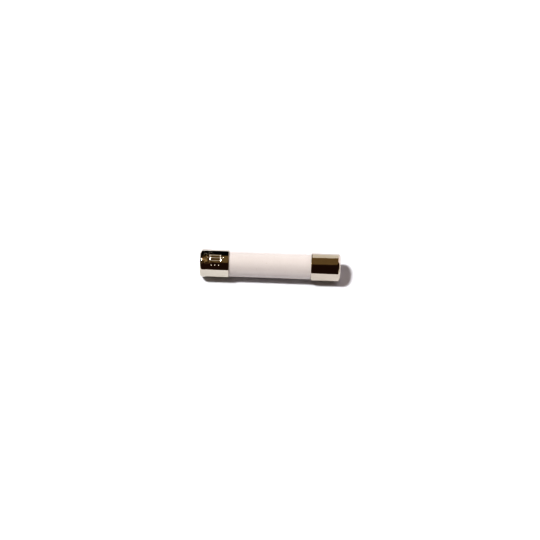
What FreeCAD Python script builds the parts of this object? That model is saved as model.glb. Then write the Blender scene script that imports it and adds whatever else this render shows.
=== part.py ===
"""Cartridge fuse, 6.3 x 32 mm, with a ceramic body and two contact caps.

The fuse lies along X with its centre at the origin and +Z up. A ceramic tube full of quartz sand holds a
flat fuse link. A slotted fibre washer closes each end of the tube, the link's ends are bent over the
washers, and solder joins them to two drawn brass caps, which a ring of cement bonds to the tube.

Each sub-part at an end is drawn at the +X end. Its left-hand twin is the same part turned half a turn
about Z. All sizes are in millimetres and come from the spreadsheet "Sizes".
"""

import FreeCAD
import Part

import math
import os

import Sketcher
from FreeCAD import Placement, Rotation, Vector

# Driving dimensions: alias, value, what it is
SIZES = [
    ("overall_length", 31.8, "fuse, end face to end face"),
    ("cap_diameter", 6.35, "outside of a cap"),
    ("cap_length", 6.6, "cap, end face to mouth"),
    ("cap_sheet", 0.22, "brass sheet that a cap is drawn from"),
    ("cap_corner", 0.6, "outside bend radius where a cap's wall meets its end"),
    ("mouth_round", 0.06, "rounding of a cap's mouth"),
    ("cement_gap", 0.06, "radial gap between tube and cap, which the cement fills"),
    ("cement_length", 3.4, "cement ring, back from the tube's bevel"),
    ("tube_bore", 4.0, "inside of the ceramic tube"),
    ("tube_bevel", 0.15, "bevel of the tube's outer edges"),
    ("washer_thickness", 0.4, "fibre washer"),
    ("washer_play", 0.05, "radial play of a washer in its cap"),
    ("solder_thickness", 0.55, "solder between washer and cap"),
    ("solder_round", 0.12, "rounding of the solder's edge at the washer"),
    ("link_width", 1.5, "fuse link strip"),
    ("link_thickness", 0.1, "fuse link strip"),
    ("link_bend", 0.08, "inside bend radius of the link's ends"),
    ("link_tab", 1.5, "height of a bent end above the fuse's axis"),
    ("slot_play", 0.05, "play of the link in a washer's slot"),
    ("neck_count", 4, "narrowed necks along the link"),
    ("neck_pitch", 4.6, "distance between necks"),
    ("neck_radius", 0.5, "radius of the notches on both sides of a neck"),
    ("bead_radius", 0.62, "foot of the tin bead"),
    ("bead_height", 0.34, "tin bead, above the link's face"),
    ("sand_play", 0.02, "radial play of the sand in the bore"),
    ("mark_offset", 3.5, "centre of the stamped mark, from the cap's end face"),
    ("mark_length", 2.4, "stamped frame, along the fuse"),
    ("mark_width", 1.3, "stamped frame, round the fuse"),
    ("mark_tail", 0.5, "centre line, past each end of the frame"),
    ("mark_nose", 0.18, "radius of the stamp's round nose"),
    ("mark_depth", 0.07, "depth of the stamped lines and dots"),
    ("mark_turn", 12, "degrees from the top of the cap to the mark, towards the front"),
    ("mark_copies", 2, "times that the mark is repeated round the cap"),
    ("dot_radius", 0.22, "radius of the round stamp of a dot"),
    ("dot_pitch", 0.85, "distance between dots"),
    ("dot_row", 1.05, "row of dots, round the fuse from the frame's side"),
]
DOT_STEPS = (-1, 0, 1)

# Places along X and radii, worked out from the driving dimensions
HALF_LENGTH = "Sizes.overall_length / 2"
CAP_RADIUS = "Sizes.cap_diameter / 2"
CAP_BORE = f"({CAP_RADIUS} - Sizes.cap_sheet)"
CAP_INNER_CORNER = "(Sizes.cap_corner - Sizes.cap_sheet)"
CAP_FLOOR = f"({HALF_LENGTH} - Sizes.cap_sheet)"
CAP_MOUTH = f"({HALF_LENGTH} - Sizes.cap_length)"
TUBE_RADIUS = f"({CAP_BORE} - Sizes.cement_gap)"
WASHER_FACE = f"({CAP_FLOOR} - Sizes.solder_thickness)"
TUBE_END = f"({WASHER_FACE} - Sizes.washer_thickness)"
CEMENT_END = f"({TUBE_END} - Sizes.tube_bevel)"
CEMENT_START = f"({CEMENT_END} - Sizes.cement_length)"
SOLDER_ROUND = f"min(Sizes.solder_round; 0.8 * (Sizes.solder_thickness - {CAP_INNER_CORNER}))"
LINK_FACE = "Sizes.link_thickness / 2"
LINK_EDGE = "Sizes.link_width / 2"
LINK_END = f"({WASHER_FACE} + Sizes.link_thickness)"
SLOT_HALF_HEIGHT = f"({LINK_FACE} + Sizes.link_bend + Sizes.slot_play)"
SLOT_HALF_WIDTH = f"({LINK_EDGE} + Sizes.slot_play)"
NECKS_SPAN = "((Sizes.neck_count - 1) * Sizes.neck_pitch)"
BEAD_TOP = f"({LINK_FACE} + Sizes.bead_height)"
BEAD_SPHERE = "((Sizes.bead_radius ^ 2 + Sizes.bead_height ^ 2) / (2 * Sizes.bead_height))"
NOSE_CENTRE = f"({CAP_RADIUS} + Sizes.mark_nose - Sizes.mark_depth)"
MARK_CENTRE = f"({HALF_LENGTH} - Sizes.mark_offset)"
HALF_FRAME = "Sizes.mark_length / 2"
FRAME_ANGLE = "(Sizes.mark_width / Sizes.cap_diameter * 180 / pi)"
DOT_CENTRE = f"({CAP_RADIUS} + Sizes.dot_radius - Sizes.mark_depth)"
DOT_ANGLE = "((Sizes.mark_width / 2 + Sizes.dot_row) / Sizes.cap_diameter * 360 / pi)"

ALONG_X = Placement(Vector(), Rotation(Vector(0, 1, 0), 90))
HALF_TURN_ABOUT_Z = Placement(Vector(), Rotation(Vector(0, 0, 1), 180))
ABOUT_X = Placement(Vector(), Rotation(Vector(1, 0, 0), 1))  # an expression sets its angle
FULL_TURN = 360
QUARTER_TURN = math.pi / 2
START_POINT, END_POINT, CENTRE_POINT = 1, 2, 3
ORIGIN = (-1, START_POINT)
H_AXIS, V_AXIS = -1, -2
CLOSE = 1e-4
CUTS = ("PartDesign::Pocket", "PartDesign::Groove", "PartDesign::SubtractiveSphere")
LEAST_CUT = 1e-5


def make_sheet(doc):
    """The spreadsheet of driving dimensions: name, value with its alias, and a note."""
    sheet = doc.addObject("Spreadsheet::Sheet", "Sizes")
    for row, (alias, value, note) in enumerate(SIZES, start=1):
        sheet.set(f"A{row}", alias)
        sheet.set(f"B{row}", str(value))
        sheet.setAlias(f"B{row}", alias)
        sheet.set(f"C{row}", note)
    doc.recompute()


def value_of(doc, expression):
    """The number that an expression gives with the present sizes."""
    return float(doc.getObject("Sizes").evalExpression(expression))


def bind(item, **expressions):
    """Ties properties of an object to expressions. A double underscore stands for a dot."""
    for name, expression in expressions.items():
        item.setExpression(name.replace("__", "."), expression)


def new_body(doc, label):
    """An empty body for one sub-part."""
    body = doc.addObject("PartDesign::Body", label)
    body.Label = label
    return body


def origin_feature(body, role):
    """One of the planes or axes of a body's own origin."""
    return next(item for item in body.Origin.OriginFeatures if item.Role == role)


def new_sketch(body, name, plane, lift=None):
    """A sketch on one of the body's own origin planes, lifted along its normal by an expression."""
    sketch = body.newObject("Sketcher::SketchObject", name)
    sketch.AttachmentSupport = [(origin_feature(body, plane), "")]
    sketch.MapMode = "FlatFace"
    if lift is not None:
        bind(sketch, AttachmentOffset__Base__z=lift)
    return sketch


def dimension(sketch, kind, *places_and_expression):
    """A driving dimension of a sketch, tied to an expression."""
    *places, expression = places_and_expression
    value = value_of(sketch.Document, expression)
    index = sketch.addConstraint(Sketcher.Constraint(kind, *places, value))
    sketch.setExpression(f"Constraints[{index}]", expression)


def place_point(sketch, geometry, point, x=None, y=None):
    """Fixes a sketch point's distances from the origin. A distance of "0" puts it on the axis."""
    for expression, axis, kind in ((x, V_AXIS, "DistanceX"), (y, H_AXIS, "DistanceY")):
        if expression == "0":
            sketch.addConstraint(Sketcher.Constraint("PointOnObject", geometry, point, axis))
        elif expression is not None:
            dimension(sketch, kind, *ORIGIN, geometry, point, expression)


def outline(sketch, corners):
    """A closed outline of level and upright lines through corners given as pairs of expressions."""
    doc = sketch.Document
    points = [Vector(value_of(doc, x), value_of(doc, y), 0) for x, y in corners]
    following = list(range(1, len(corners))) + [0]
    lines = [
        sketch.addGeometry(Part.LineSegment(points[i], points[j]), False)
        for i, j in enumerate(following)
    ]
    for i, j in enumerate(following):
        sketch.addConstraint(
            Sketcher.Constraint("Coincident", lines[i], END_POINT, lines[j], START_POINT)
        )
        if corners[i][0] == corners[j][0]:
            sketch.addConstraint(Sketcher.Constraint("Vertical", lines[i]))
            place_point(sketch, lines[i], START_POINT, x=corners[i][0])
        else:
            sketch.addConstraint(Sketcher.Constraint("Horizontal", lines[i]))
            place_point(sketch, lines[i], START_POINT, y=corners[i][1])


def box_corners(left, right, bottom, top):
    """Corners of a rectangle, as pairs of expressions."""
    return [(left, bottom), (right, bottom), (right, top), (left, top)]


def circle(sketch, x, y, radius):
    """A circle whose centre and radius are expressions."""
    doc = sketch.Document
    centre = Vector(value_of(doc, x), value_of(doc, y), 0)
    round_line = Part.Circle(centre, Vector(0, 0, 1), value_of(doc, radius))
    index = sketch.addGeometry(round_line, False)
    place_point(sketch, index, CENTRE_POINT, x, y)
    dimension(sketch, "Radius", index, radius)


def add_feature(body, kind, name, sketch, **settings):
    """A sketch-based PartDesign feature with its plain settings."""
    feature = body.newObject(f"PartDesign::{kind}", name)
    feature.Profile = sketch
    for key, value in settings.items():
        setattr(feature, key, value)
    sketch.Visibility = False
    return feature


def turned_about_x(body, name, sketch):
    """A full revolution of a sketch on the XZ plane about the fuse's axis."""
    return add_feature(
        body, "Revolution", name, sketch, ReferenceAxis=(sketch, ["H_Axis"]), Angle=FULL_TURN
    )


def edges_of(feature, wanted):
    """Names of the edges of a feature that a test accepts."""
    feature.Document.recompute()
    return [f"Edge{i}" for i, e in enumerate(feature.Shape.Edges, start=1) if wanted(e)]


def ring_edges(feature, radius, x=None):
    """Names of the round edges about the fuse's axis with that radius, and in that plane if one is given."""
    doc = feature.Document
    size = value_of(doc, radius)

    def wanted(edge):
        if not isinstance(edge.Curve, Part.Circle) or abs(edge.Curve.Radius - size) > CLOSE:
            return False
        centre = edge.Curve.Center
        on_axis = math.hypot(centre.y, centre.z) < CLOSE
        return on_axis and (x is None or abs(centre.x - value_of(doc, x)) < CLOSE)

    return edges_of(feature, wanted)


def cross_edges(feature, x, z):
    """Names of the straight edges that run along Y at that height, on both sides of the middle."""
    doc = feature.Document
    far, height = value_of(doc, x), value_of(doc, z)

    def wanted(edge):
        box = edge.BoundBox
        in_place = abs(abs(box.Center.x) - far) < CLOSE and abs(box.Center.z - height) < CLOSE
        return in_place and max(box.XLength, box.ZLength) < CLOSE

    return edges_of(feature, wanted)


def round_edges(body, name, feature, edges, radius):
    """A fillet on named edges, with its radius tied to an expression."""
    fillet = body.newObject("PartDesign::Fillet", name)
    fillet.Base = (feature, edges)
    bind(fillet, Radius=radius)
    body.Document.recompute()
    return fillet


def turn_to_left(item):
    """Puts a sub-part that is drawn at the +X end at the -X end."""
    item.Placement = HALF_TURN_ABOUT_Z


def make_cap(doc, label):
    """A drawn cup: one sheet thickness all over, with a bend where the wall meets the end face."""
    body = new_body(doc, label)
    sketch = new_sketch(body, f"{label}_profile", "XZ_Plane")
    outline(
        sketch,
        [
            (CAP_MOUTH, CAP_BORE),
            (CAP_FLOOR, CAP_BORE),
            (CAP_FLOOR, "0"),
            (HALF_LENGTH, "0"),
            (HALF_LENGTH, CAP_RADIUS),
            (CAP_MOUTH, CAP_RADIUS),
        ],
    )
    cup = turned_about_x(body, f"{label}_cup", sketch)
    outer = ring_edges(cup, CAP_RADIUS, HALF_LENGTH)
    bend = round_edges(body, f"{label}_outer_bend", cup, outer, "Sizes.cap_corner")
    inner = ring_edges(bend, CAP_BORE, CAP_FLOOR)
    bend = round_edges(body, f"{label}_inner_bend", bend, inner, CAP_INNER_CORNER)
    mouth = ring_edges(bend, CAP_RADIUS, CAP_MOUTH) + ring_edges(bend, CAP_BORE, CAP_MOUTH)
    round_edges(body, f"{label}_mouth_round", bend, mouth, "Sizes.mouth_round")
    return body


def stamp_lines(body, name, angles, half_length):
    """Round-nosed grooves along the cap, at angles from the top towards +Y."""
    start = f"({MARK_CENTRE} - {half_length})"
    sketch = new_sketch(body, f"{name}_sketch", "YZ_Plane", start)
    for angle in angles:
        turn = f"(Sizes.mark_turn + {angle})"
        circle(sketch, f"{NOSE_CENTRE} * sin({turn})", f"{NOSE_CENTRE} * cos({turn})", "Sizes.mark_nose")
    pocket = add_feature(body, "Pocket", name, sketch, Reversed=True)
    bind(pocket, Length=f"2 * {half_length}")
    return pocket


def stamp_frame_ends(body, name):
    """Round-nosed grooves round the cap, which close the frame at both ends."""
    sketch = new_sketch(body, f"{name}_sketch", "XZ_Plane")
    sketch.AttachmentOffset = ABOUT_X
    bind(sketch, AttachmentOffset__Rotation__Angle="-1 * Sizes.mark_turn")
    for side in "-+":
        circle(sketch, f"({MARK_CENTRE} {side} {HALF_FRAME})", NOSE_CENTRE, "Sizes.mark_nose")
    groove = add_feature(
        body, "Groove", name, sketch, ReferenceAxis=(sketch, ["H_Axis"]), Midplane=True
    )
    bind(groove, Angle=f"2 * {FRAME_ANGLE}")
    return groove


def stamp_dots(body, name):
    """A row of round dots beside the frame. Each stamp's pole points at the fuse's axis."""
    dots = []
    turn = f"(Sizes.mark_turn + {DOT_ANGLE})"
    for number, step in enumerate(DOT_STEPS, start=1):
        dot = body.newObject("PartDesign::SubtractiveSphere", f"{name}_{number}")
        dot.Placement = ABOUT_X
        bind(
            dot,
            Radius="Sizes.dot_radius",
            Placement__Base__x=f"{MARK_CENTRE} + {step} * Sizes.dot_pitch",
            Placement__Base__y=f"{DOT_CENTRE} * sin({turn})",
            Placement__Base__z=f"{DOT_CENTRE} * cos({turn})",
            Placement__Rotation__Angle=f"-1 * {turn}",
        )
        dots.append(dot)
    return dots


def stamp_mark(body):
    """The general symbol of a fuse, a frame with a line through it, and a row of dots, round the cap."""
    frame_sides = [f"-1 * {FRAME_ANGLE}", FRAME_ANGLE]
    sides = stamp_lines(body, "frame_sides", frame_sides, f"({HALF_FRAME} + Sizes.mark_nose)")
    middle = stamp_lines(body, "middle_line", ["0"], f"({HALF_FRAME} + Sizes.mark_tail)")
    ends = stamp_frame_ends(body, "frame_ends")
    dots = stamp_dots(body, "dot")
    pattern = body.newObject("PartDesign::PolarPattern", "mark_round_cap")
    pattern.Originals = [sides, middle, ends, *dots]
    pattern.Axis = (origin_feature(body, "X_Axis"), [""])
    pattern.Angle = FULL_TURN
    bind(pattern, Occurrences="Sizes.mark_copies")
    body.Tip = pattern


def make_tube(doc):
    """The ceramic tube, with its outer edges bevelled."""
    body = new_body(doc, "ceramic_tube")
    sketch = new_sketch(body, "tube_section", "YZ_Plane")
    circle(sketch, "0", "0", TUBE_RADIUS)
    circle(sketch, "0", "0", "Sizes.tube_bore / 2")
    pad = add_feature(body, "Pad", "tube_pad", sketch, SideType="Symmetric")
    bind(pad, Length=f"2 * {TUBE_END}")
    edges = ring_edges(pad, TUBE_RADIUS)
    bevel = body.newObject("PartDesign::Chamfer", "tube_bevel")
    bevel.Base = (pad, edges)
    bind(bevel, Size="Sizes.tube_bevel")
    return body


def make_washer(doc, label):
    """A fibre disc on the tube's end, with a slot for the link."""
    body = new_body(doc, label)
    sketch = new_sketch(body, f"{label}_face", "YZ_Plane", TUBE_END)
    circle(sketch, "0", "0", f"({CAP_BORE} - Sizes.washer_play)")
    outline(
        sketch,
        box_corners(
            f"-1 * {SLOT_HALF_WIDTH}", SLOT_HALF_WIDTH, f"-1 * {SLOT_HALF_HEIGHT}", SLOT_HALF_HEIGHT
        ),
    )
    pad = add_feature(body, "Pad", f"{label}_disc", sketch)
    bind(pad, Length="Sizes.washer_thickness")
    return body


def make_solder(doc, label):
    """Solder that fills a cap's end, with the bent end of the link set in it."""
    body = new_body(doc, label)
    sketch = new_sketch(body, f"{label}_profile", "XZ_Plane")
    outline(sketch, box_corners(WASHER_FACE, CAP_FLOOR, "0", CAP_BORE))
    disc = turned_about_x(body, f"{label}_disc", sketch)
    far = ring_edges(disc, CAP_BORE, CAP_FLOOR)
    fitted = round_edges(body, f"{label}_fitted_edge", disc, far, CAP_INNER_CORNER)
    near = ring_edges(fitted, CAP_BORE, WASHER_FACE)
    round_edges(body, f"{label}_free_edge", fitted, near, SOLDER_ROUND)
    seat = new_sketch(body, f"{label}_tab_outline", "YZ_Plane", WASHER_FACE)
    outline(seat, box_corners(f"-1 * {LINK_EDGE}", LINK_EDGE, f"-1 * {LINK_FACE}", "Sizes.link_tab"))
    pocket = add_feature(body, "Pocket", f"{label}_tab_seat", seat, Reversed=True)
    bind(pocket, Length="Sizes.link_thickness")
    return body


def make_cement(doc, label):
    """The ring of cement between a cap and the tube."""
    body = new_body(doc, label)
    sketch = new_sketch(body, f"{label}_profile", "XZ_Plane")
    outline(sketch, box_corners(CEMENT_START, CEMENT_END, TUBE_RADIUS, CAP_BORE))
    turned_about_x(body, f"{label}_ring", sketch)
    return body


def make_link(doc):
    """A flat strip through both washers, bent up over them, with necks that melt first."""
    body = new_body(doc, "fuse_link")
    side = new_sketch(body, "link_side_view", "XZ_Plane")
    outline(
        side,
        [
            (f"-1 * {LINK_END}", f"-1 * {LINK_FACE}"),
            (LINK_END, f"-1 * {LINK_FACE}"),
            (LINK_END, "Sizes.link_tab"),
            (WASHER_FACE, "Sizes.link_tab"),
            (WASHER_FACE, LINK_FACE),
            (f"-1 * {WASHER_FACE}", LINK_FACE),
            (f"-1 * {WASHER_FACE}", "Sizes.link_tab"),
            (f"-1 * {LINK_END}", "Sizes.link_tab"),
        ],
    )
    strip = add_feature(body, "Pad", "link_strip", side, SideType="Symmetric")
    bind(strip, Length="Sizes.link_width")
    inside = cross_edges(strip, WASHER_FACE, LINK_FACE)
    strip = round_edges(body, "link_inside_bends", strip, inside, "Sizes.link_bend")
    outside = cross_edges(strip, LINK_END, f"-1 * {LINK_FACE}")
    round_edges(body, "link_outside_bends", strip, outside, "Sizes.link_bend + Sizes.link_thickness")
    top = new_sketch(body, "link_notches", "XY_Plane")
    for edge in (LINK_EDGE, f"-1 * {LINK_EDGE}"):
        circle(top, f"{NECKS_SPAN} / 2", edge, "Sizes.neck_radius")
    notch = add_feature(body, "Pocket", "link_neck", top, Type="ThroughAll", SideType="Symmetric")
    necks = body.newObject("PartDesign::LinearPattern", "link_necks")
    necks.Originals = [notch]
    necks.Direction = (top, ["H_Axis"])
    necks.Reversed = True
    bind(necks, Length=NECKS_SPAN, Occurrences="Sizes.neck_count")
    body.Tip = necks
    return body


def make_bead(doc):
    """A low dome of tin on the middle of the link."""
    body = new_body(doc, "tin_bead")
    sketch = new_sketch(body, "bead_profile", "XZ_Plane")
    foot, radius = value_of(doc, LINK_FACE), value_of(doc, "Sizes.bead_radius")
    top, sphere = value_of(doc, BEAD_TOP), value_of(doc, BEAD_SPHERE)
    centre = Vector(0, top - sphere, 0)
    start = math.atan2(foot - centre.y, radius)
    dome = Part.ArcOfCircle(Part.Circle(centre, Vector(0, 0, 1), sphere), start, QUARTER_TURN)
    corner, edge, tip = Vector(0, foot, 0), Vector(radius, foot, 0), Vector(0, top, 0)
    base = sketch.addGeometry(Part.LineSegment(corner, edge), False)
    arc = sketch.addGeometry(dome, False)
    middle = sketch.addGeometry(Part.LineSegment(tip, corner), False)
    for first, second in ((base, arc), (arc, middle), (middle, base)):
        sketch.addConstraint(
            Sketcher.Constraint("Coincident", first, END_POINT, second, START_POINT)
        )
    sketch.addConstraint(Sketcher.Constraint("Horizontal", base))
    place_point(sketch, base, START_POINT, "0", LINK_FACE)
    place_point(sketch, base, END_POINT, "Sizes.bead_radius")
    place_point(sketch, middle, START_POINT, "0", BEAD_TOP)
    place_point(sketch, arc, CENTRE_POINT, "0")
    add_feature(
        body, "Revolution", "bead_dome", sketch, ReferenceAxis=(sketch, ["V_Axis"]), Angle=FULL_TURN
    )
    return body


def make_sand(doc, link, bead):
    """Packed sand that fills the bore round the link and its bead."""
    column = doc.addObject("Part::Cylinder", "sand_column")
    column.Placement = ALONG_X
    bind(
        column,
        Radius="Sizes.tube_bore / 2 - Sizes.sand_play",
        Height=f"2 * {TUBE_END}",
        Placement__Base__x=f"-1 * {TUBE_END}",
    )
    hollow = doc.addObject("Part::MultiFuse", "sand_hollow")
    hollow.Shapes = [link, bead]
    sand = doc.addObject("Part::Cut", "sand_filler")
    sand.Base = column
    sand.Tool = hollow
    sand.Label = "sand_filler"
    return sand


def make_fuse(doc):
    """Every sub-part of the fuse."""
    parts = [make_tube(doc)]
    for maker, name in (
        (make_cap, "end_cap"),
        (make_washer, "washer"),
        (make_solder, "solder"),
        (make_cement, "cement"),
    ):
        left, right = maker(doc, f"left_{name}"), maker(doc, f"right_{name}")
        if maker is make_cap:
            stamp_mark(left)
        turn_to_left(left)
        parts += [left, right]
    link, bead = make_link(doc), make_bead(doc)
    parts += [link, bead, make_sand(doc, link, bead)]
    return parts


def check(doc, parts):
    """Stops at a failed object, a cut that removes nothing, or an unsound sub-part."""
    for item in doc.Objects:
        if {"Invalid", "Error"} & set(item.State):
            raise SystemExit(f"{item.Label} failed: {item.State}")
        if item.TypeId in CUTS and item.Shape.Volume > item.BaseFeature.Shape.Volume - LEAST_CUT:
            raise SystemExit(f"{item.Label} cuts nothing")
    for part in parts:
        shape = part.Shape
        if shape.isNull() or not shape.isValid() or len(shape.Solids) != 1:
            raise SystemExit(f"{part.Label} is not one sound solid")
        print(f"{part.Label:16s} {shape.Volume:9.3f} mm3")


def main():
    doc = FreeCAD.newDocument("cartridge_fuse")
    make_sheet(doc)
    parts = make_fuse(doc)
    doc.recompute()
    check(doc, parts)
    os.makedirs("parts", exist_ok=True)
    for part in parts:
        part.Shape.exportStep(f"parts/{part.Label}.step")


main()
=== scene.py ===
# Looks of a 6.3 x 32 mm cartridge fuse. It lies along X on a white floor: a fired ceramic tube between two
# nickel-plated caps, the left one with a stamped mark. The caps and the tube are turned here in fine
# meshes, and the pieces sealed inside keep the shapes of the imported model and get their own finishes.

import math

import bmesh
import bpy
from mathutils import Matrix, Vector, noise


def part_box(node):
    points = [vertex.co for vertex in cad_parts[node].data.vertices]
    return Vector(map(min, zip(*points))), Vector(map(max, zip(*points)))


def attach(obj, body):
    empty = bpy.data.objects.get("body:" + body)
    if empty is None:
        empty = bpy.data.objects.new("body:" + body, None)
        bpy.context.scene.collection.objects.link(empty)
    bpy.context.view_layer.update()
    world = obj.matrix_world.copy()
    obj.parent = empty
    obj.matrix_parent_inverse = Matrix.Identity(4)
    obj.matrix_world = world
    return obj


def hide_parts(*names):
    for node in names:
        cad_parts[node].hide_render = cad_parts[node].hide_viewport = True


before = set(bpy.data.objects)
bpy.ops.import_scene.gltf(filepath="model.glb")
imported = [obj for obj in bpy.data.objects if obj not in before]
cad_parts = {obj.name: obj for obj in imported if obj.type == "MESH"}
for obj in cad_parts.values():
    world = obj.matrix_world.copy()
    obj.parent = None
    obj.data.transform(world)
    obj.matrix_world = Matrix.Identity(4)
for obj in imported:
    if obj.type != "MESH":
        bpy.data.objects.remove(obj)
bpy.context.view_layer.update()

MM = 0.001

# ---------------------------------------------------------------- sizes, in metres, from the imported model
right_cap_low, right_cap_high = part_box("right_end_cap")
tube_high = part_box("ceramic_tube")[1]
solder_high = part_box("right_solder")[1]

CAP_RADIUS = right_cap_high.z
CAP_END = right_cap_high.x
CAP_MOUTH = right_cap_low.x
CAP_FLOOR = solder_high.x
CAP_SHEET = CAP_END - CAP_FLOOR
CAP_BORE = CAP_RADIUS - CAP_SHEET
CAP_CORNER = 0.6 * MM
MOUTH_ROUND = 0.06 * MM
TUBE_END = tube_high.x
TUBE_RADIUS = tube_high.z
TUBE_BORE = 2.0 * MM
TUBE_BEVEL = 0.15 * MM

# the stamped mark on the left cap
MARK_CENTRE = 3.5 * MM - CAP_END
MARK_TURN = math.radians(12)
MARK_COPIES = 2
FRAME_LENGTH = 2.4 * MM
FRAME_WIDTH = 1.3 * MM
LINE_TAIL = 0.5 * MM
NOSE_RADIUS = 0.18 * MM
DOT_RADIUS = 0.22 * MM
STAMP_DEPTH = 0.07 * MM
DOT_PITCH = 0.85 * MM
DOT_ROW = 1.05 * MM
MARK_REACH = FRAME_LENGTH / 2 + LINE_TAIL + NOSE_RADIUS

# two points this close are one
CLOSE = 1e-7

# faces round each turned mesh, faces across its bends, and extra rings between its bends
STAMPED_CAP_STEPS = 540
PLAIN_CAP_STEPS = 400
TUBE_STEPS = 256
CORNER_SEGMENTS = 14
INNER_CORNER_SEGMENTS = 6
MOUTH_SEGMENTS = 4
END_FACE_RINGS = 14
MARK_RINGS = 96
BESIDE_MARK_RINGS = 10
PLAIN_WALL_RINGS = 40
TUBE_RINGS = 120

# how far the outsides wander from true, and over what length
CAP_WAVE_DEPTH = 0.010 * MM
CAP_WAVE_SIZE = 2.2 * MM
TUBE_WAVE_DEPTH = 0.008 * MM
TUBE_WAVE_SIZE = 2.8 * MM

TABLE_REACH = 3


# ---------------------------------------------------------------- meshes
def lathe(outline, steps):
    """Turns a closed outline of (x, radius) points round the fuse's axis, and joins the poles."""
    mesh = bmesh.new()
    verts = [mesh.verts.new((x, 0, radius)) for x, radius in outline]
    edges = [mesh.edges.new(pair) for pair in zip(verts, verts[1:] + verts[:1])]
    bmesh.ops.spin(
        mesh, geom=verts + edges, cent=(0, 0, 0), axis=(1, 0, 0), angle=math.tau, steps=steps, use_merge=True
    )
    bmesh.ops.remove_doubles(mesh, verts=mesh.verts, dist=CLOSE)
    bmesh.ops.dissolve_degenerate(mesh, edges=mesh.edges, dist=CLOSE)
    return mesh


def radius_of(vert):
    """Distance of a vertex from the fuse's axis."""
    return math.hypot(vert.co.y, vert.co.z)


def ring(mesh, x, radius):
    """The edges of the ring at that place."""
    return [
        edge
        for edge in mesh.edges
        if all(abs(v.co.x - x) < CLOSE and abs(radius_of(v) - radius) < CLOSE for v in edge.verts)
    ]


def round_ring(mesh, x, radius, bend, segments):
    """Rounds the corner at a ring with an arc of that radius."""
    bmesh.ops.bevel(
        mesh,
        geom=ring(mesh, x, radius),
        offset=bend,
        offset_type="OFFSET",
        segments=segments,
        profile=0.5,
        affect="EDGES",
        material=-1,
    )


def cut_rings(mesh, places):
    """Cuts the mesh across the fuse at each place along X."""
    for x in places:
        geometry = mesh.verts[:] + mesh.edges[:] + mesh.faces[:]
        bmesh.ops.bisect_plane(mesh, geom=geometry, dist=CLOSE, plane_co=(x, 0, 0), plane_no=(1, 0, 0))


def divide(mesh, cuts, wanted):
    """Divides the edges that a test accepts, and so adds rings between the rings they join."""
    edges = [edge for edge in mesh.edges if wanted(edge)]
    bmesh.ops.subdivide_edges(mesh, edges=edges, cuts=cuts, use_grid_fill=True)


def along_wall(start, end, radius):
    """A test for the edges that run along a wall between two places."""

    def wanted(edge):
        xs = sorted(v.co.x for v in edge.verts)
        on_wall = all(abs(radius_of(v) - radius) < CLOSE for v in edge.verts)
        return on_wall and xs[0] > start - CLOSE and xs[1] < end + CLOSE and xs[1] - xs[0] > CLOSE

    return wanted


def across_face(x):
    """A test for the edges that run out from the axis on an end face."""

    def wanted(edge):
        radii = sorted(radius_of(v) for v in edge.verts)
        return all(abs(v.co.x - x) < CLOSE for v in edge.verts) and radii[1] - radii[0] > CLOSE

    return wanted


def place(name, mesh, material, node):
    """Makes a finished mesh the piece that stands for a node."""
    bmesh.ops.recalc_face_normals(mesh, faces=mesh.faces)
    for face in mesh.faces:
        face.smooth = True
    data = bpy.data.meshes.new(name)
    mesh.to_mesh(data)
    mesh.free()
    data.materials.append(material)
    piece = bpy.data.objects.new(name, data)
    bpy.context.scene.collection.objects.link(piece)
    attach(piece, "root")
    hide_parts(node)
    return piece


# ---------------------------------------------------------------- the stamped mark
def line_distance(x, y, start, end):
    """Distance of a point from a stroke between two points."""
    along = Vector(end) - Vector(start)
    away = Vector((x, y)) - Vector(start)
    share = min(max(away.dot(along) / along.length_squared, 0), 1)
    return (away - along * share).length


def nose_depth(distance, nose):
    """How deep a round nose of that radius presses at a distance from its middle."""
    if distance >= nose:
        return 0
    return max(math.sqrt(nose * nose - distance * distance) - nose + STAMP_DEPTH, 0)


def mark_depth(x, y):
    """Depth of the mark: a frame with a line through it, the general symbol of a fuse, and a row of dots."""
    half, side = FRAME_LENGTH / 2, FRAME_WIDTH / 2
    strokes = [
        ((-half, -side), (half, -side)),
        ((-half, side), (half, side)),
        ((-half, -side), (-half, side)),
        ((half, -side), (half, side)),
        ((-half - LINE_TAIL, 0), (half + LINE_TAIL, 0)),
    ]
    depth = max(nose_depth(line_distance(x, y, *stroke), NOSE_RADIUS) for stroke in strokes)
    for step in (-1, 0, 1):
        away = math.hypot(x - step * DOT_PITCH, y - side - DOT_ROW)
        depth = max(depth, nose_depth(away, DOT_RADIUS))
    return depth


def stamp(mesh):
    """Presses the mark into a cap's wall, in copies spaced evenly round it."""
    reach_y = FRAME_WIDTH / 2 + DOT_ROW + DOT_RADIUS
    for vert in mesh.verts:
        x = vert.co.x - MARK_CENTRE
        if abs(x) > MARK_REACH or abs(radius_of(vert) - CAP_RADIUS) > CLOSE:
            continue
        turn = math.atan2(-vert.co.y, vert.co.z) - MARK_TURN
        spacing = math.tau / MARK_COPIES
        y = ((turn + spacing / 2) % spacing - spacing / 2) * CAP_RADIUS
        if abs(y) < reach_y:
            depth = mark_depth(x, y)
            vert.co.yz *= 1 - depth / CAP_RADIUS


def settle(mesh, inside, depth, size, seed):
    """Takes up to a depth off the outside in soft waves of that size, as drawing and handling leave it. The
    outside is what lies past a radius, and the closed ends; the seed picks the waves."""
    offset = Vector((seed, 0, 0))
    bmesh.ops.recalc_face_normals(mesh, faces=mesh.faces)
    mesh.normal_update()
    for vert in mesh.verts:
        if radius_of(vert) > inside or abs(vert.co.x) > CAP_FLOOR + CLOSE:
            wave = noise.noise(vert.co / size + offset)
            vert.co -= vert.normal * depth * (0.5 + 0.5 * wave)


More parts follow.
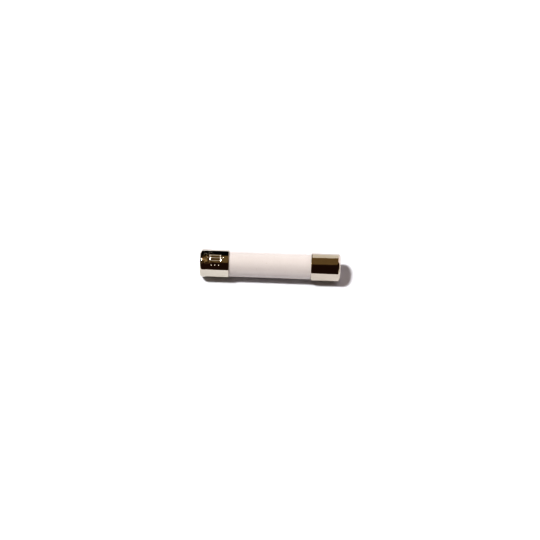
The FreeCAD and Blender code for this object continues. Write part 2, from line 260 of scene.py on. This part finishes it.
# ---------------------------------------------------------------- pieces
def cap_mesh(side, steps, wall_rows, mark_rows):
    """A drawn cap: a cup of one sheet thickness with bends, a rounded mouth and fine rings on its wall."""
    mesh = lathe(
        [
            (side * CAP_MOUTH, CAP_BORE),
            (side * CAP_FLOOR, CAP_BORE),
            (side * CAP_FLOOR, 0),
            (side * CAP_END, 0),
            (side * CAP_END, CAP_RADIUS),
            (side * CAP_MOUTH, CAP_RADIUS),
        ],
        steps,
    )
    round_ring(mesh, side * CAP_END, CAP_RADIUS, CAP_CORNER, CORNER_SEGMENTS)
    round_ring(mesh, side * CAP_FLOOR, CAP_BORE, CAP_CORNER - CAP_SHEET, INNER_CORNER_SEGMENTS)
    round_ring(mesh, side * CAP_MOUTH, CAP_RADIUS, MOUTH_ROUND, MOUTH_SEGMENTS)
    round_ring(mesh, side * CAP_MOUTH, CAP_BORE, MOUTH_ROUND, MOUTH_SEGMENTS)
    divide(mesh, END_FACE_RINGS, across_face(side * CAP_END))
    low, high = sorted((side * CAP_MOUTH, side * CAP_END))
    if mark_rows:
        cut_rings(mesh, (MARK_CENTRE - MARK_REACH, MARK_CENTRE + MARK_REACH))
        divide(mesh, mark_rows, along_wall(MARK_CENTRE - MARK_REACH, MARK_CENTRE + MARK_REACH, CAP_RADIUS))
        divide(mesh, wall_rows, along_wall(low, MARK_CENTRE - MARK_REACH, CAP_RADIUS))
        divide(mesh, wall_rows, along_wall(MARK_CENTRE + MARK_REACH, high, CAP_RADIUS))
        stamp(mesh)
    else:
        divide(mesh, wall_rows, along_wall(low, high, CAP_RADIUS))
    return mesh


def tube_mesh():
    """The ceramic tube with its outer edges bevelled."""
    mesh = lathe(
        [
            (-TUBE_END, TUBE_BORE),
            (TUBE_END, TUBE_BORE),
            (TUBE_END, TUBE_RADIUS),
            (-TUBE_END, TUBE_RADIUS),
        ],
        TUBE_STEPS,
    )
    for x in (-TUBE_END, TUBE_END):
        round_ring(mesh, x, TUBE_RADIUS, TUBE_BEVEL, 1)
    divide(mesh, TUBE_RINGS, along_wall(-TUBE_END, TUBE_END, TUBE_RADIUS))
    return mesh


# ---------------------------------------------------------------- materials
def linear(hex_colour):
    """A colour given as sRGB hex, in linear light, with alpha 1."""
    shares = [int(hex_colour[i : i + 2], 16) / 255 for i in (0, 2, 4)]
    return [s / 12.92 if s <= 0.04045 else ((s + 0.055) / 1.055) ** 2.4 for s in shares] + [1]


def add(tree, kind, inputs=None, **settings):
    """Adds a node with its settings. Each input is a number, a colour or the socket that feeds it."""
    node = tree.nodes.new("ShaderNode" + kind)
    for key, value in settings.items():
        setattr(node, key, value)
    for key, source in (inputs or {}).items():
        if isinstance(source, bpy.types.NodeSocket):
            tree.links.new(source, node.inputs[key])
        else:
            node.inputs[key].default_value = source
    return node


def new_material(name):
    """A material with a surface shader, and the coordinates of the piece in metres."""
    material = bpy.data.materials.new(name)
    material.use_nodes = True
    tree = material.node_tree
    shader = tree.nodes["Principled BSDF"]
    coordinates = add(tree, "TexCoord").outputs["Object"]
    return material, tree, shader, coordinates


def nickel_plated_drawn_brass(name, light, dark, scuffs_and_highlight_at_end, mark_reach):
    """Bright nickel over drawn brass: a warm mirror with fine lines along the draw and dull clouds. A cap
    that was held at its closed end has dents and scuffs there, and near-white and dull patches on its top
    that are partly rubbed plating and partly a painted highlight; the strokes of a stamped mark are satin."""
    material, tree, shader, place_on = new_material(name)
    shader.inputs["Metallic"].default_value = 1
    x, _, z = add(tree, "SeparateXYZ", {"Vector": place_on}).outputs
    across = add(tree, "VectorMath", {0: place_on, 1: (0, 1, 1)}, operation="MULTIPLY").outputs["Vector"]
    radius = add(tree, "VectorMath", {0: across}, operation="LENGTH").outputs["Value"]

    # tarnish clouds of about 1.5 mm: they shift the tint and dull the mirror a little
    clouds = add(tree, "TexNoise", {"Vector": place_on, "Scale": 1 / (1.5 * MM), "Detail": 5}).outputs["Fac"]
    tint = add(tree, "Mix", {"Factor": clouds, "A": linear(light), "B": linear(dark)}, data_type="RGBA")
    dull = add(tree, "MapRange", {"Value": clouds, "To Min": 0.02, "To Max": 0.1}).outputs["Result"]

    # scuffs of about 0.3 mm that fade out 3.6 mm from the closed end
    near_end = add(
        tree,
        "MapRange",
        {"Value": x, "From Min": 3.6 * MM - CAP_END, "From Max": 2.0 * MM - CAP_END, "To Max": scuffs_and_highlight_at_end},
    ).outputs["Result"]
    specks = add(tree, "TexNoise", {"Vector": place_on, "Scale": 1 / (0.28 * MM), "Detail": 2}).outputs["Fac"]
    scuffs = add(tree, "MapRange", {"Value": specks, "From Min": 0.44, "From Max": 0.58}).outputs["Result"]
    scuffs = add(tree, "Math", {0: scuffs, 1: near_end}, operation="MULTIPLY").outputs[0]

    # on top, patches of about 0.5 mm, some near white and some dull: partly rubbed plating, partly a painted
    # highlight, as they lie only where the key light's highlight falls
    on_top = add(
        tree, "MapRange", {"Value": z, "From Min": 0.7 * CAP_RADIUS, "From Max": 0.88 * CAP_RADIUS}
    ).outputs["Result"]
    on_top = add(tree, "Math", {0: on_top, 1: near_end}, operation="MULTIPLY").outputs[0]
    spots = add(tree, "TexNoise", {"Vector": place_on, "Scale": 1 / (0.55 * MM), "Detail": 1}).outputs["Fac"]
    spots = add(tree, "MapRange", {"Value": spots, "From Min": 0.4, "From Max": 0.6}).outputs["Result"]
    # painted highlight: these near-white patches lie only on the top, where the key light's highlight falls
    rubbed_and_highlight_patches = add(
        tree, "Mix", {"Factor": spots, "A": linear("a09688"), "B": linear("fffaf0")}, data_type="RGBA"
    )
    tint = add(
        tree,
        "Mix",
        {"Factor": on_top, "A": tint.outputs["Result"], "B": rubbed_and_highlight_patches.outputs["Result"]},
        data_type="RGBA",
    )

    # the strokes lie more than 0.015 mm under the wall, within the mark's reach
    deep = add(
        tree,
        "MapRange",
        {"Value": radius, "From Min": CAP_RADIUS - 0.016 * MM, "From Max": CAP_RADIUS - 0.036 * MM},
    ).outputs["Result"]
    by_mark = add(tree, "Math", {0: x, 1: MARK_CENTRE, 2: mark_reach}, operation="COMPARE").outputs[0]
    stroke = add(tree, "Math", {0: deep, 1: by_mark}, operation="MULTIPLY").outputs[0]

    dull = add(tree, "Math", {0: scuffs, 1: 0.07, 2: dull}, operation="MULTIPLY_ADD").outputs[0]
    dull = add(tree, "Math", {0: stroke, 1: 0.24, 2: dull}, operation="MULTIPLY_ADD").outputs[0]
    tree.links.new(dull, shader.inputs["Roughness"])
    tree.links.new(tint.outputs["Result"], shader.inputs["Base Color"])

    # draw lines run along the cap, over an orange peel of 0.7 mm and the dents at the end; the real lines
    # are a few hundredths of a millimetre apart, and are drawn 0.14 mm apart to show
    stretched = add(tree, "Mapping", {"Vector": place_on, "Scale": (0.05, 1, 1)}).outputs["Vector"]
    lines = add(tree, "TexNoise", {"Vector": stretched, "Scale": 1 / (0.14 * MM), "Detail": 3}).outputs["Fac"]
    peel = add(tree, "TexNoise", {"Vector": place_on, "Scale": 1 / (0.7 * MM), "Detail": 2}).outputs["Fac"]
    rounds = add(tree, "Mapping", {"Vector": place_on, "Scale": (1, 0.4, 0.4)}).outputs["Vector"]
    dents = add(tree, "TexNoise", {"Vector": rounds, "Scale": 1 / (0.24 * MM), "Detail": 2}).outputs["Fac"]
    dents = add(tree, "Math", {0: dents, 1: near_end}, operation="MULTIPLY").outputs[0]
    bump = add(tree, "Bump", {"Height": peel, "Distance": 2e-6}).outputs["Normal"]
    bump = add(tree, "Bump", {"Height": dents, "Distance": 1.2e-5, "Normal": bump}).outputs["Normal"]
    bump = add(tree, "Bump", {"Height": lines, "Distance": 1e-6, "Normal": bump}).outputs["Normal"]
    tree.links.new(bump, shader.inputs["Normal"])
    return material


def glazed_white_ceramic(name):
    """Fired steatite with a thin clear glaze: an off-white with faint clouds and specks, and a soft shine
    that changes a little from place to place."""
    material, tree, shader, place_on = new_material(name)
    clouds = add(tree, "TexNoise", {"Vector": place_on, "Scale": 1 / (2.6 * MM), "Detail": 4}).outputs["Fac"]
    body = add(
        tree,
        "Mix",
        {"Factor": clouds, "A": linear("dad4d1"), "B": linear("d4cecb")},
        data_type="RGBA",
    )
    specks = add(tree, "TexNoise", {"Vector": place_on, "Scale": 1 / (0.35 * MM), "Detail": 1}).outputs["Fac"]
    specks = add(
        tree, "MapRange", {"Value": specks, "From Min": 0.68, "From Max": 0.78, "To Max": 0.35}
    ).outputs["Result"]
    body = add(
        tree,
        "Mix",
        {"Factor": specks, "A": body.outputs["Result"], "B": linear("b9ada0")},
        data_type="RGBA",
    )
    tree.links.new(body.outputs["Result"], shader.inputs["Base Color"])
    soft = add(tree, "MapRange", {"Value": clouds, "To Min": 0.1, "To Max": 0.24}).outputs["Result"]
    tree.links.new(soft, shader.inputs["Roughness"])
    shader.inputs["IOR"].default_value = 1.55
    ripple = add(tree, "TexNoise", {"Vector": place_on, "Scale": 1 / (0.5 * MM), "Detail": 3}).outputs["Fac"]
    bump = add(tree, "Bump", {"Height": ripple, "Distance": 3e-6}).outputs["Normal"]
    tree.links.new(bump, shader.inputs["Normal"])
    return material


def silvered_copper_strip(name):
    """Thin silver over punched copper: pale and satin, with rolling lines and copper showing in specks."""
    material, tree, shader, place_on = new_material(name)
    shader.inputs["Metallic"].default_value = 1
    stretched = add(tree, "Mapping", {"Vector": place_on, "Scale": (0.04, 1, 1)}).outputs["Vector"]
    rolled = add(
        tree, "TexNoise", {"Vector": stretched, "Scale": 1 / (0.08 * MM), "Detail": 3}
    ).outputs["Fac"]
    worn = add(tree, "TexNoise", {"Vector": place_on, "Scale": 1 / (0.6 * MM), "Detail": 4}).outputs["Fac"]
    worn = add(tree, "MapRange", {"Value": worn, "From Min": 0.6, "From Max": 0.75}).outputs["Result"]
    tint = add(tree, "Mix", {"Factor": worn, "A": linear("f2efe8"), "B": linear("d9a283")}, data_type="RGBA")
    tree.links.new(tint.outputs["Result"], shader.inputs["Base Color"])
    dull = add(tree, "MapRange", {"Value": rolled, "To Min": 0.18, "To Max": 0.34}).outputs["Result"]
    tree.links.new(dull, shader.inputs["Roughness"])
    bump = add(tree, "Bump", {"Height": rolled, "Distance": 8e-7}).outputs["Normal"]
    tree.links.new(bump, shader.inputs["Normal"])
    return material


def molten_metal(name, light, dark, roughness):
    """Metal that set from a melt, tin or solder: grey and satin, with a skin of shrunken grains."""
    material, tree, shader, place_on = new_material(name)
    shader.inputs["Metallic"].default_value = 1
    grains = add(tree, "TexVoronoi", {"Vector": place_on, "Scale": 1 / (0.18 * MM)})
    clouds = add(tree, "TexNoise", {"Vector": place_on, "Scale": 1 / (0.5 * MM), "Detail": 4}).outputs["Fac"]
    tint = add(tree, "Mix", {"Factor": clouds, "A": linear(light), "B": linear(dark)}, data_type="RGBA")
    tree.links.new(tint.outputs["Result"], shader.inputs["Base Color"])
    dull = add(
        tree, "MapRange", {"Value": clouds, "To Min": roughness - 0.08, "To Max": roughness + 0.08}
    ).outputs["Result"]
    tree.links.new(dull, shader.inputs["Roughness"])
    bump = add(tree, "Bump", {"Height": grains.outputs["Distance"], "Distance": 4e-6}).outputs["Normal"]
    tree.links.new(bump, shader.inputs["Normal"])
    return material


def grainy_filler(name, light, dark, grain, relief):
    """Loose or set grains, quartz sand or cement: matte, each grain of its own shade."""
    material, tree, shader, place_on = new_material(name)
    grains = add(tree, "TexVoronoi", {"Vector": place_on, "Scale": 1 / grain})
    shade = add(tree, "SeparateColor", {"Color": grains.outputs["Color"]}).outputs["Red"]
    tint = add(tree, "Mix", {"Factor": shade, "A": linear(light), "B": linear(dark)}, data_type="RGBA")
    tree.links.new(tint.outputs["Result"], shader.inputs["Base Color"])
    dull = add(tree, "MapRange", {"Value": shade, "To Min": 0.7, "To Max": 0.95}).outputs["Result"]
    tree.links.new(dull, shader.inputs["Roughness"])
    bump = add(
        tree, "Bump", {"Height": grains.outputs["Distance"], "Distance": relief}, invert=True
    ).outputs["Normal"]
    tree.links.new(bump, shader.inputs["Normal"])
    return material


def vulcanised_fibre(name):
    """Pressed grey-brown fibre board: matte, with short matted fibres."""
    material, tree, shader, place_on = new_material(name)
    matted = add(tree, "Mapping", {"Vector": place_on, "Scale": (1, 0.25, 1)}).outputs["Vector"]
    fibres = add(
        tree, "TexNoise", {"Vector": matted, "Scale": 1 / (0.12 * MM), "Detail": 5, "Distortion": 1.5}
    ).outputs["Fac"]
    tint = add(
        tree,
        "Mix",
        {"Factor": fibres, "A": linear("8d8276"), "B": linear("6f655a")},
        data_type="RGBA",
    )
    tree.links.new(tint.outputs["Result"], shader.inputs["Base Color"])
    dull = add(tree, "MapRange", {"Value": fibres, "To Min": 0.65, "To Max": 0.85}).outputs["Result"]
    tree.links.new(dull, shader.inputs["Roughness"])
    bump = add(tree, "Bump", {"Height": fibres, "Distance": 6e-6}).outputs["Normal"]
    tree.links.new(bump, shader.inputs["Normal"])
    return material


# ---------------------------------------------------------------- the model
left_nickel = nickel_plated_drawn_brass("nickel_plated_brass_stamped", "dad5ca", "d1cbbf", 1.0, MARK_REACH)
# painted shade: the right cap's nickel is set darker and warmer than the left's, a shaded copy of the same
# plating
right_nickel_shaded = nickel_plated_drawn_brass("nickel_plated_brass_plain", "d4cdc3", "cac1b5", 0.0, 0.0)
ceramic = glazed_white_ceramic("glazed_white_ceramic")

left_cap = cap_mesh(-1, STAMPED_CAP_STEPS, BESIDE_MARK_RINGS, MARK_RINGS)
settle(left_cap, CAP_BORE + MOUTH_ROUND, CAP_WAVE_DEPTH, CAP_WAVE_SIZE, 3.0)
place("left_cap_drawn_cup", left_cap, left_nickel, "left_end_cap")

right_cap = cap_mesh(1, PLAIN_CAP_STEPS, PLAIN_WALL_RINGS, 0)
settle(right_cap, CAP_BORE + MOUTH_ROUND, CAP_WAVE_DEPTH, CAP_WAVE_SIZE, 7.0)
place("right_cap_drawn_cup", right_cap, right_nickel_shaded, "right_end_cap")

tube = tube_mesh()
settle(tube, TUBE_BORE + CLOSE, TUBE_WAVE_DEPTH, TUBE_WAVE_SIZE, 5.0)
place("ceramic_body", tube, ceramic, "ceramic_tube")

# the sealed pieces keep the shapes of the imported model
inside = {
    "fuse_link": silvered_copper_strip("silvered_copper_strip"),
    "tin_bead": molten_metal("tin_bead_set_from_melt", "d6d6d8", "bcbcc0", 0.3),
    "sand_filler": grainy_filler("dried_quartz_sand", "e4dccb", "b9ab93", 0.3 * MM, 3e-5),
}
fibre = vulcanised_fibre("pressed_vulcanised_fibre")
solder = molten_metal("soft_solder_set_from_melt", "b9babd", "97999d", 0.4)
cement = grainy_filler("set_end_cement", "dcd6cb", "c3bbad", 0.06 * MM, 8e-6)
for side in ("left", "right"):
    inside[side + "_washer"] = fibre
    inside[side + "_solder"] = solder
    inside[side + "_cement"] = cement
for node, material in inside.items():
    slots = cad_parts[node].data.materials
    slots.clear()
    slots.append(material)


# ---------------------------------------------------------------- floor, light and camera
def white_floor():
    """A wide matte white table top under the caps."""
    mesh = bmesh.new()
    bmesh.ops.create_grid(mesh, x_segments=1, y_segments=1, size=TABLE_REACH)
    bmesh.ops.translate(mesh, verts=mesh.verts, vec=(0, 0, -CAP_RADIUS))
    data = bpy.data.meshes.new("floor")
    mesh.to_mesh(data)
    mesh.free()
    material, tree, shader, place_on = new_material("matte_white_table")
    shader.inputs["Base Color"].default_value = linear("e7e9ee")
    shader.inputs["Roughness"].default_value = 1
    shader.inputs["Specular IOR Level"].default_value = 0
    data.materials.append(material)
    floor = bpy.data.objects.new("floor", data)
    bpy.context.scene.collection.objects.link(floor)


def key_light():
    """One soft light, high on the left."""
    light = bpy.data.lights.new("key", "SUN")
    light.energy = 3.75
    light.angle = math.radians(10.5)
    lamp = bpy.data.objects.new("key", light)
    lamp.rotation_mode = "QUATERNION"
    lamp.rotation_quaternion = Vector((-0.48, -0.05, 1)).to_track_quat("Z", "Y")
    bpy.context.scene.collection.objects.link(lamp)


def room():
    """The room that the caps mirror: dark in front, a dim warm ceiling overhead, a pale wall behind to the
    right, a bright window behind and far to the right, and a pale side wall low on the right."""
    world = bpy.data.worlds.new("room")
    bpy.context.scene.world = world
    world.use_nodes = True
    tree = world.node_tree
    x, y, z = add(tree, "SeparateXYZ", {0: add(tree, "TexCoord").outputs["Generated"]}).outputs
    towards_front = add(tree, "Math", {0: y, 1: -1.0}, operation="MULTIPLY").outputs[0]
    tilt = add(tree, "Math", {0: towards_front, 1: z}, operation="ARCTAN2").outputs[0]

    # each share rises smoothly from 0 to 1 over its range; the ceiling's edges slant across the room
    slant = add(
        tree, "MapRange", {"Value": x, "From Min": -0.12, "From Max": 0.06, "To Min": -0.44, "To Max": 0.22}
    ).outputs["Result"]
    band = add(tree, "Math", {0: tilt, 1: slant}, operation="ADD").outputs[0]
    shares = {}
    for name, value, start, end in (
        ("pale wall", x, -0.045, -0.02),
        ("overhead", band, -0.81, -0.77),
        ("front", band, 0.265, 0.3),
        ("away left", x, -0.25, -0.45),
        ("away right", x, 0.25, 0.45),
        ("low", z, 0.55, 0.35),
        ("window side", x, 0.12, 0.3),
        ("window tilt", tilt, -0.1, -0.35),
        ("under", z, 0.0, -0.02),
    ):
        shares[name] = add(
            tree,
            "MapRange",
            {"Value": value, "From Min": start, "From Max": end},
            interpolation_type="SMOOTHSTEP",
        ).outputs["Result"]
    for name, first, second in (("side wall", "away right", "low"), ("window", "window side", "window tilt")):
        shares[name] = add(
            tree, "Math", {0: shares[first], 1: shares[second]}, operation="MULTIPLY"
        ).outputs[0]

    colour = linear("0d0906")
    for share, over in (
        ("pale wall", "fffaf2"),
        ("overhead", "988463"),
        ("away left", "4a4238"),
        ("away right", "4a4238"),
        ("front", "4a352c"),
        ("side wall", "e2dad2"),
        ("window", "fff8ff"),
        ("under", "ffffff"),
    ):
        colour = add(
            tree, "Mix", {"Factor": shares[share], "A": colour, "B": linear(over)}, data_type="RGBA"
        ).outputs["Result"]
    strength = add(tree, "Math", {0: shares["window"], 1: 0.4, 2: 1.0}, operation="MULTIPLY_ADD").outputs[0]
    # past the table's edge the eye sees plain white, not the room that the caps mirror
    seen = add(tree, "LightPath").outputs["Is Camera Ray"]
    colour = add(
        tree, "Mix", {"Factor": seen, "A": colour, "B": linear("ffffff")}, data_type="RGBA"
    ).outputs["Result"]
    background = tree.nodes["Background"]
    tree.links.new(colour, background.inputs["Color"])
    tree.links.new(strength, background.inputs["Strength"])


def front_camera():
    """A long lens on the fuse from the front and above, a little to the right."""
    data = bpy.data.cameras.new("camera")
    data.lens = 102.8
    data.sensor_width = 36
    camera = bpy.data.objects.new("camera", data)
    azimuth, elevation, distance = math.radians(2.6), math.radians(54), 350 * MM
    back = Vector(
        (
            math.sin(azimuth) * math.cos(elevation),
            -math.cos(azimuth) * math.cos(elevation),
            math.sin(elevation),
        )
    )
    rotation = back.to_track_quat("Z", "Y")
    aim = rotation @ Vector((-0.06 * MM, -1.04 * MM, 0))
    camera.rotation_mode = "QUATERNION"
    camera.rotation_quaternion = rotation
    camera.location = aim + back * distance
    data.clip_start, data.clip_end = 0.01, 20
    bpy.context.scene.collection.objects.link(camera)
    bpy.context.scene.camera = camera


white_floor()
key_light()
room()
front_camera()
# a contrasty print: darker shadows than plain sRGB, with white where it was
bpy.context.scene.view_settings.view_transform = "Standard"
bpy.context.scene.view_settings.look = "Very High Contrast"
bpy.context.scene.view_settings.exposure = -0.72
